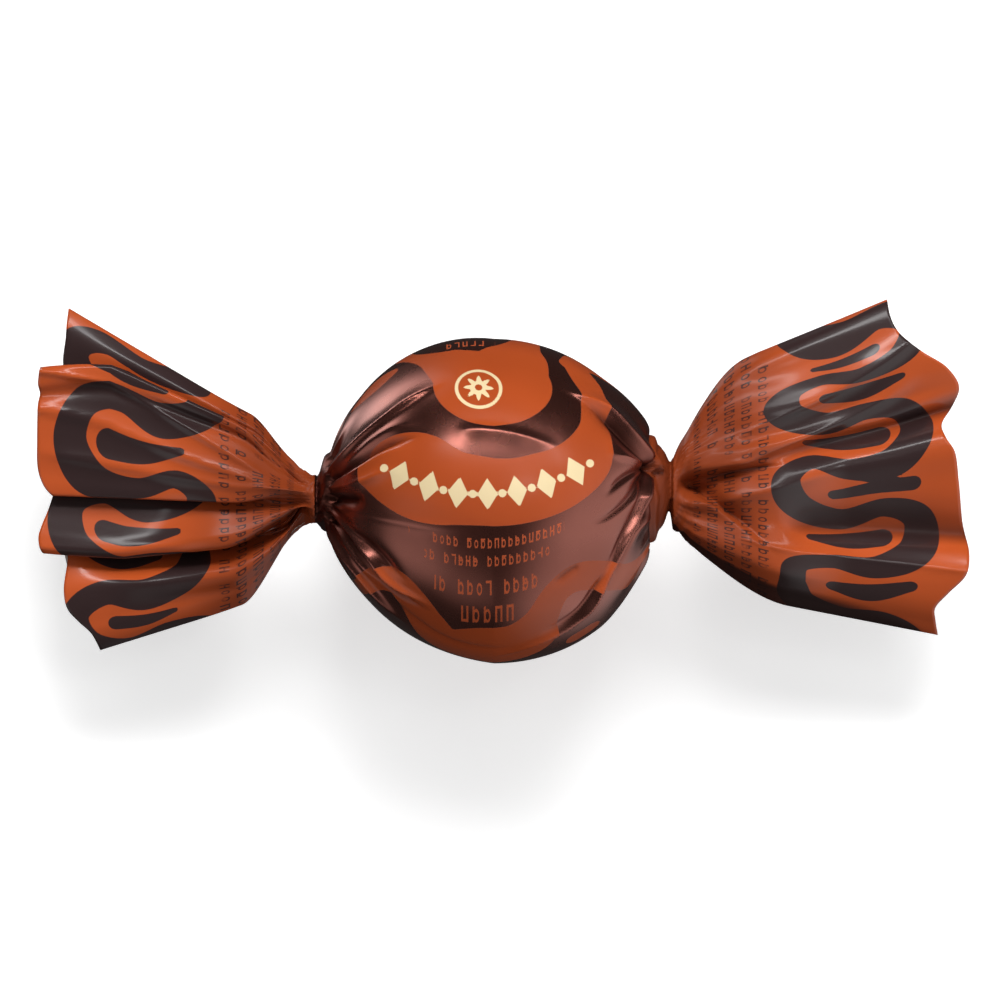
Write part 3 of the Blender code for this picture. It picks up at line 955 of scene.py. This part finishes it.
def film_material():
    """Printed film: orange ink and dark ink, metallised where the ball is."""
    material, tree, shader = new_material("printed_film")
    ink, cream, metal, rows, painted_shade = (
        attribute(tree, name) for name in ("ink", "cream", "metal", "rows", "painted_shade"))
    painted_shade = painted_shade * PAINTED_SHADE_STRENGTH
    uv = add_node(tree, "UVMap")
    uv.uv_map = "print"
    split = add_node(tree, "SeparateXYZ")
    tree.links.new(uv.outputs["UV"], split.inputs["Vector"])
    u, v = Wire(tree, split.outputs["X"]), Wire(tree, split.outputs["Y"])

    dark = ink.below(0.0, INK_EDGE)
    marks = small_print(tree, u, v) * rows.above(0.5, 0.1)
    ball_marks = marks * metal
    tail_marks = marks * (metal * -1.0 + 1.0)

    faint = noise(tree, 900.0, 3.0)
    broad = noise(tree, 90.0)
    deeper = broad.above(0.5, 0.5) * 0.5 + metal * 0.5
    orange = blend_colours(tree, deeper, ORANGE, ORANGE_DEEP)
    orange = blend_colours(tree, tail_marks * faint.above(0.36, 0.3) * 0.9, orange, DARK_INK)
    brown = blend_colours(tree, metal, DARK_INK, METAL_BROWN)
    brown = blend_colours(tree, ball_marks * 0.85, brown, ORANGE)
    colour = blend_colours(tree, dark, orange, brown)
    colour = blend_colours(tree, cream.below(0.0, INK_EDGE), colour, CREAM)
    # Painted shade: the colour darkened towards near-black in folds, creases, near the necks and
    # along the right tail's lower edge
    colour = blend_colours(tree, painted_shade, colour, PAINTED_SHADE_COLOUR)
    tree.links.new(colour, shader.inputs["Base Color"])

    shine = dark * metal * (ball_marks * -1.0 + 1.0)
    (shine * METALLIC).feed(shader, "Metallic")
    rough = (noise(tree, 400.0) - 0.5) * ROUGH_VARIES + ROUGHNESS
    rough = rough - dark * metal * METAL_SMOOTHER + painted_shade * HOLLOW_ROUGHER
    rough.feed(shader, "Roughness")
    # Painted shade on the gloss: less coat where shade is painted
    unshaded = (painted_shade * -GLOSS_FADES).math("ADD", 1.0, clamp=True)
    gloss, gloss_rough = (metal * added + plain for plain, added in (GLOSS, GLOSS_ROUGH))
    (gloss * unshaded).feed(shader, "Coat Weight")
    gloss_rough.feed(shader, "Coat Roughness")
    set_inputs(shader, {"Specular IOR Level": 0.3})

    bump = add_node(tree, "Bump")
    set_inputs(bump, {"Strength": 0.06, "Distance": 0.0002})
    wrinkle = noise(tree, 260.0, 3.0, (0.45, 1.0, 1.0), 0.55)
    wrinkle.feed(bump, "Height")
    tree.links.new(bump.outputs["Normal"], shader.inputs["Normal"])
    return material


def inside_material():
    """The unprinted back of the film, seen inside the open tails."""
    material, tree, shader = new_material("film_inside")
    shade = noise(tree, 300.0)
    colour = blend_colours(tree, shade, *INSIDE)
    tree.links.new(colour, shader.inputs["Base Color"])
    set_inputs(shader, {"Metallic": 0.35, "Roughness": 0.38})
    return material


# ---- build

LEFT_RING, LEFT_LENGTH = tail_edge(LEFT_EDGE, LEFT_BACK)
RIGHT_RING, RIGHT_LENGTH = tail_edge(RIGHT_EDGE, RIGHT_BACK)

# Waves pulled into the film by the twist: how many go round, lift, distance
# they fade over, share of crisp crest, shift round the tail
LEFT_PLEATS = ((9, 0.50, 12.0, 0.6, 0.0), (17, 0.20, 8.0, 0.6, 1.3), (31, 0.06, 5.0, 0.6, 2.1))
RIGHT_PLEATS = ((9, 0.17, 10.0, 0.3, 0.0), (17, 0.07, 6.0, 0.5, 1.3), (31, 0.03, 4.0, 0.5, 2.1))

# Ridges and grooves of each tail: the shares of its length where one begins
# and ends, its angles round the ring there, lift, widths of the sides towards
# +Y and towards -Y, share of crisp crest
LEFT_RIDGES = (
    (0.2, 1.15, 36.0, 30.0, 0.35, (0.8, 0.5), 0.7),
    (0.2, 1.15, 66.0, 42.0, 0.55, (0.8, 0.45), 0.9),
    (0.2, 1.15, 70.0, 59.0, 0.50, (1.1, 0.5), 0.8),
    (0.1, 0.95, 74.0, 70.0, 0.50, (0.9, 0.6), 0.6),
    (0.5, 1.10, 120.0, 122.0, 0.35, (0.8, 0.5), 0.5),
    (0.0, 0.60, 95.0, 97.0, -1.1, (0.35, 1.5), 0.4),
    (0.0, 0.90, 128.0, 137.0, -3.4, (0.40, 3.0), 0.2),
    (0.15, 0.75, 160.0, 157.0, 0.85, (1.5, 1.5), 0.3),
    (0.0, 0.60, 28.0, 26.0, -0.6, (0.5, 1.2), 0.3),
)
RIGHT_RIDGES = (
    (0.35, 1.10, 12.0, 6.0, 0.50, (1.4, 1.4), 0.2),
    (0.25, 1.10, 57.0, 22.0, 0.75, (2.0, 0.9), 0.5),
    (0.25, 0.80, 84.0, 50.0, 0.60, (1.6, 0.9), 0.3),
    (0.0, 0.50, 112.0, 98.0, 0.50, (1.2, 0.9), 0.5),
    (0.25, 1.10, 133.0, 139.0, 0.40, (0.8, 0.7), 0.8),
    (0.08, 0.50, 148.0, 152.0, 0.80, (1.9, 1.9), 0.1),
    (0.0, 0.30, 85.0, 88.0, -2.4, (0.45, 1.8), 0.3),
    (0.02, 0.24, 89.0, 122.0, -1.7, (1.5, 0.45), 0.3),
    (0.0, 0.34, 64.0, 70.0, 0.70, (2.2, 1.4), 0.1),
    (0.28, 1.20, 86.0, 60.0, -1.8, (1.4, 2.4), 0.1),
    (0.42, 1.20, 120.0, 124.0, -1.9, (3.0, 1.8), 0.1),
)

# Where folds run higher before the far edge than at it: the angles between
# which they begin, are whole and end, how much higher, over which share
LEFT_LEANS = (
    (4.0, 26.0, 50.0, 76.0, 3.9, 0.26),
    (100.0, 118.0, 142.0, 160.0, -1.5, 0.30),
)
RIGHT_LEANS = ()
# The stretches over which the tails' small print begins and ends, and how wide
# a mark is
PRINT_BEGINS = (2.4, 0.5)
PRINT_ENDS = (11.4, 0.5)
LETTER_WIDTH = 1.45
# Painted shade on the tails where the film gathers at the necks: how strong it
# is, and the stretch over which it fades out
TAIL_SHADE = 0.66
TAIL_GATHER = (6.0, 12.0)
# Painted shade along the right tail's lower edge, where the film turns under:
# how many degrees it reaches at the neck, how many fewer for each millimetre
# away and over how many it softens, the stretch over which it ends, and how strong it is
EDGE_REACH = (22.0, 0.6, 8.0)
EDGE_ENDS = (25.0, 6.0)
EDGE_SHADE = 1.2


def build_tail(name, side_x, ring, length, *shape):
    grid, film, painted_shade = tail_surface(side_x, ring, length, *shape)
    ink = tail_ink(film, length[-1] + np.linalg.norm(ring[-1] - ring[0]))
    away = film[..., 0]
    rows = rising(away, PRINT_BEGINS) * (1.0 - rising(away, PRINT_ENDS))
    uv = np.stack([film[..., 1] / LETTER_WIDTH, away / ROW_GAP], -1)
    # Painted shade near the neck, where the film gathers
    painted_shade = np.maximum(painted_shade, TAIL_SHADE * (1.0 - rising(away, TAIL_GATHER)))
    # Painted shade along the right tail's lower edge, where the film turns under
    if side_x > 0:
        reach, narrowing, soft = EDGE_REACH
        from_edge = np.abs(np.degrees(ANGLES) - 180.0) - np.maximum(reach - narrowing * away, 0.0)
        under = (1.0 - smoothstep(from_edge / soft)) * (1.0 - rising(away, EDGE_ENDS))
        painted_shade = np.maximum(painted_shade, EDGE_SHADE * under)
    if side_x < 0:
        grid, ink, rows, uv, painted_shade = (table[::-1] for table in (grid, ink, rows, uv, painted_shade))
    none = np.zeros(ink.shape)
    piece = make_mesh(name, grid, {"ink": ink, "cream": none + NO_PRINT, "metal": none, "rows": rows,
                                   "painted_shade": painted_shade}, uv)
    solid = piece.modifiers.new("film", "SOLIDIFY")
    solid.thickness = FILM_THICKNESS * MM
    solid.offset = -1.0
    solid.use_rim = True
    solid.material_offset = 1
    solid.material_offset_rim = 0
    return piece


def build_ball():
    left, body, right, base, painted_shade = ball_surface()
    of_ball = np.clip(np.arange(-len(left), len(base) + len(right)), 0, len(base) - 1)
    smooth, painted_shade = base[of_ball], painted_shade[of_ball]
    orange = ball_orange(smooth)
    x = smooth[..., 0]
    above = smooth[..., 1] + bow(x) - arc_height(x) + ARC[0]
    above = np.where(smooth[..., 2] > 0.0, above, 0.0)
    round_film = on_film(smooth)[..., 1]
    above = np.where(round_film > TOP_EDGE, round_film, above)
    levels, numbers = [], []
    u, rows = np.zeros(x.shape), np.zeros(x.shape)
    for number, (middle, half, first, last, wide) in enumerate(BALL_ROWS_OF_PRINT):
        reach = half / LETTER_SHARE
        levels += [middle - reach, middle + reach]
        numbers += [number, number + 1]
        near = np.abs(above - middle) < reach
        u = np.where(near, x / wide, u)
        rows = np.where(near & (x > first) & (x < last), 1.0, rows)
    v = np.interp(above, levels, numbers)
    none = np.zeros(orange.shape)
    return make_mesh("wrapper_ball", np.concatenate([left[::-1], body, right]),
                     {"ink": -orange, "cream": cream_marks(smooth), "metal": none + 1.0,
                      "rows": rows, "painted_shade": painted_shade}, np.stack([u, v], -1))


left_tail = build_tail("wrapper_tail_left", -1.0, LEFT_RING, LEFT_LENGTH, LEFT_FLARES,
                       smoothstep, 0.0, LEFT_PLEATS, LEFT_RIDGES, LEFT_LEANS, LEFT_NECK, LEFT_RISE)
right_tail = build_tail("wrapper_tail_right", 1.0, RIGHT_RING, RIGHT_LENGTH, RIGHT_FLARES,
                        rounded, 2.0, RIGHT_PLEATS, RIGHT_RIDGES, RIGHT_LEANS, RIGHT_NECK, RIGHT_RISE)
ball = build_ball()
film = film_material()
inside = inside_material()
for piece in (left_tail, ball, right_tail):
    piece.data.materials.append(film)
    if piece is not ball:
        piece.data.materials.append(inside)
    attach(piece, "root")
    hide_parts("wrapped_truffle")

# ---- stage


# The floor's half side in metres, and how much it glows to look white
FLOOR_HALF = 4.0
FLOOR_GLOW = 0.52


def make_floor():
    """A plain pale floor that neither tints the sweet nor shows in its film."""
    corners = [(x * FLOOR_HALF, y * FLOOR_HALF, 0.0) for x, y in ((-1, -1), (1, -1), (1, 1), (-1, 1))]
    mesh = bpy.data.meshes.new("floor")
    mesh.from_pydata(corners, [], [(0, 1, 2, 3)])
    floor = add_object("floor", mesh)
    material, tree, shader = new_material("pale_floor")
    set_inputs(shader, {"Base Color": (0.88, 0.88, 0.88, 1.0), "Roughness": 0.9,
                        "Specular IOR Level": 0.1, "Emission Color": (1.0, 1.0, 1.0, 1.0),
                        "Emission Strength": FLOOR_GLOW})
    mesh.materials.append(material)
    floor.visible_glossy = False
    floor.visible_diffuse = False


def soft_box(name, place, size, watts):
    """A square light at place, aimed at the ball, that its film doesn't mirror."""
    light = bpy.data.lights.new(name, "AREA")
    light.size = size
    light.energy = watts
    lamp = add_object(name, light)
    lamp.location = place
    aim = np.array((0.0, 0.0, CENTRE_Z * MM)) - np.array(place)
    lamp.rotation_euler = Vector(aim).to_track_quat("-Z", "Y").to_euler()
    lamp.visible_glossy = False


# Bright parts of the studio: direction, full and outer half angles, brightness
STUDIO = (
    ((0.36, 0.25, 0.90), 2.5, 6.0, 4.5),
    ((0.34, 0.28, 0.88), 4.0, 20.0, 0.25),
    ((0.88, -0.42, 0.05), 34.0, 60.0, 0.70),
    ((-0.80, -0.42, 0.43), 8.0, 28.0, 0.55),
    ((-0.34, -0.82, 0.45), 4.0, 24.0, 0.22),
)
# Long strips of light: the middle, the way across, half width, soft edge, half
# length and soft end as sines and cosines of angles, brightness
STRIPS = (
    ((0.14, 0.69, 0.72), (0.0, 0.72, -0.69), 0.055, 0.05, 0.80, 0.12, 5.5),
    ((-0.12, 0.68, 0.71), (0.0, 0.72, -0.69), 0.055, 0.05, 0.965, 0.04, 3.0),
    ((-0.59, 0.64, -0.49), (0.700, 0.163, -0.690), 0.125, 0.13, 0.88, 0.10, 3.0),
)
STUDIO_DARK = 0.03


def direction_along(tree, direction):
    """How far the way looked in the studio agrees with a direction, -1 to 1."""
    coordinates = add_node(tree, "TexCoord")
    dot = add_node(tree, "VectorMath")
    dot.operation = "DOT_PRODUCT"
    tree.links.new(coordinates.outputs["Generated"], dot.inputs[0])
    dot.inputs[1].default_value = np.array(direction) / np.linalg.norm(direction)
    return Wire(tree, dot.outputs["Value"])


def make_world():
    """A dim studio with a few soft bright parts, for the film to mirror."""
    world = bpy.data.worlds.new("studio")
    world.use_nodes = True
    tree = world.node_tree
    total = None
    for middle, across, half_width, soft_edge, half_length, soft_end, brightness in STRIPS:
        strip = (direction_along(tree, across).abs().below(half_width, soft_edge)
                 * direction_along(tree, middle).above(half_length, soft_end) * brightness)
        total = strip if total is None else total + strip
    for direction, full, outer, brightness in STUDIO:
        low, high = math.cos(math.radians(outer)), math.cos(math.radians(full))
        near = direction_along(tree, direction) - low
        total = total + near.math("DIVIDE", high - low, clamp=True) * brightness
    background = tree.nodes["Background"]
    set_inputs(background, {"Color": (1.0, 1.0, 1.0, 1.0)})
    (total + STUDIO_DARK).feed(background, "Strength")
    bpy.context.scene.world = world


# In metres, but for the sensor, which is in millimetres
CAMERA_PLACE = (0.00067, 0.00022)
CAMERA_HEIGHT = 0.9
PHOTO_WIDTH = 0.112
SENSOR = 36.0


def make_camera():
    """Straight above the sweet, as it lies with its front up."""
    data = bpy.data.cameras.new("camera")
    data.sensor_width = SENSOR
    data.lens = SENSOR * CAMERA_HEIGHT / PHOTO_WIDTH
    data.clip_start = 0.01
    data.clip_end = 20.0
    camera = add_object("camera", data)
    camera.location = (*CAMERA_PLACE, CENTRE_Z * MM + CAMERA_HEIGHT)
    bpy.context.scene.camera = camera


make_floor()
make_world()
make_camera()
soft_box("key", (0.1, 0.70, 0.65), 0.45, 6.9)
soft_box("fill", (-0.2, -0.25, 1.5), 2.0, 4.5)
bpy.context.scene.view_settings.view_transform = "Standard"
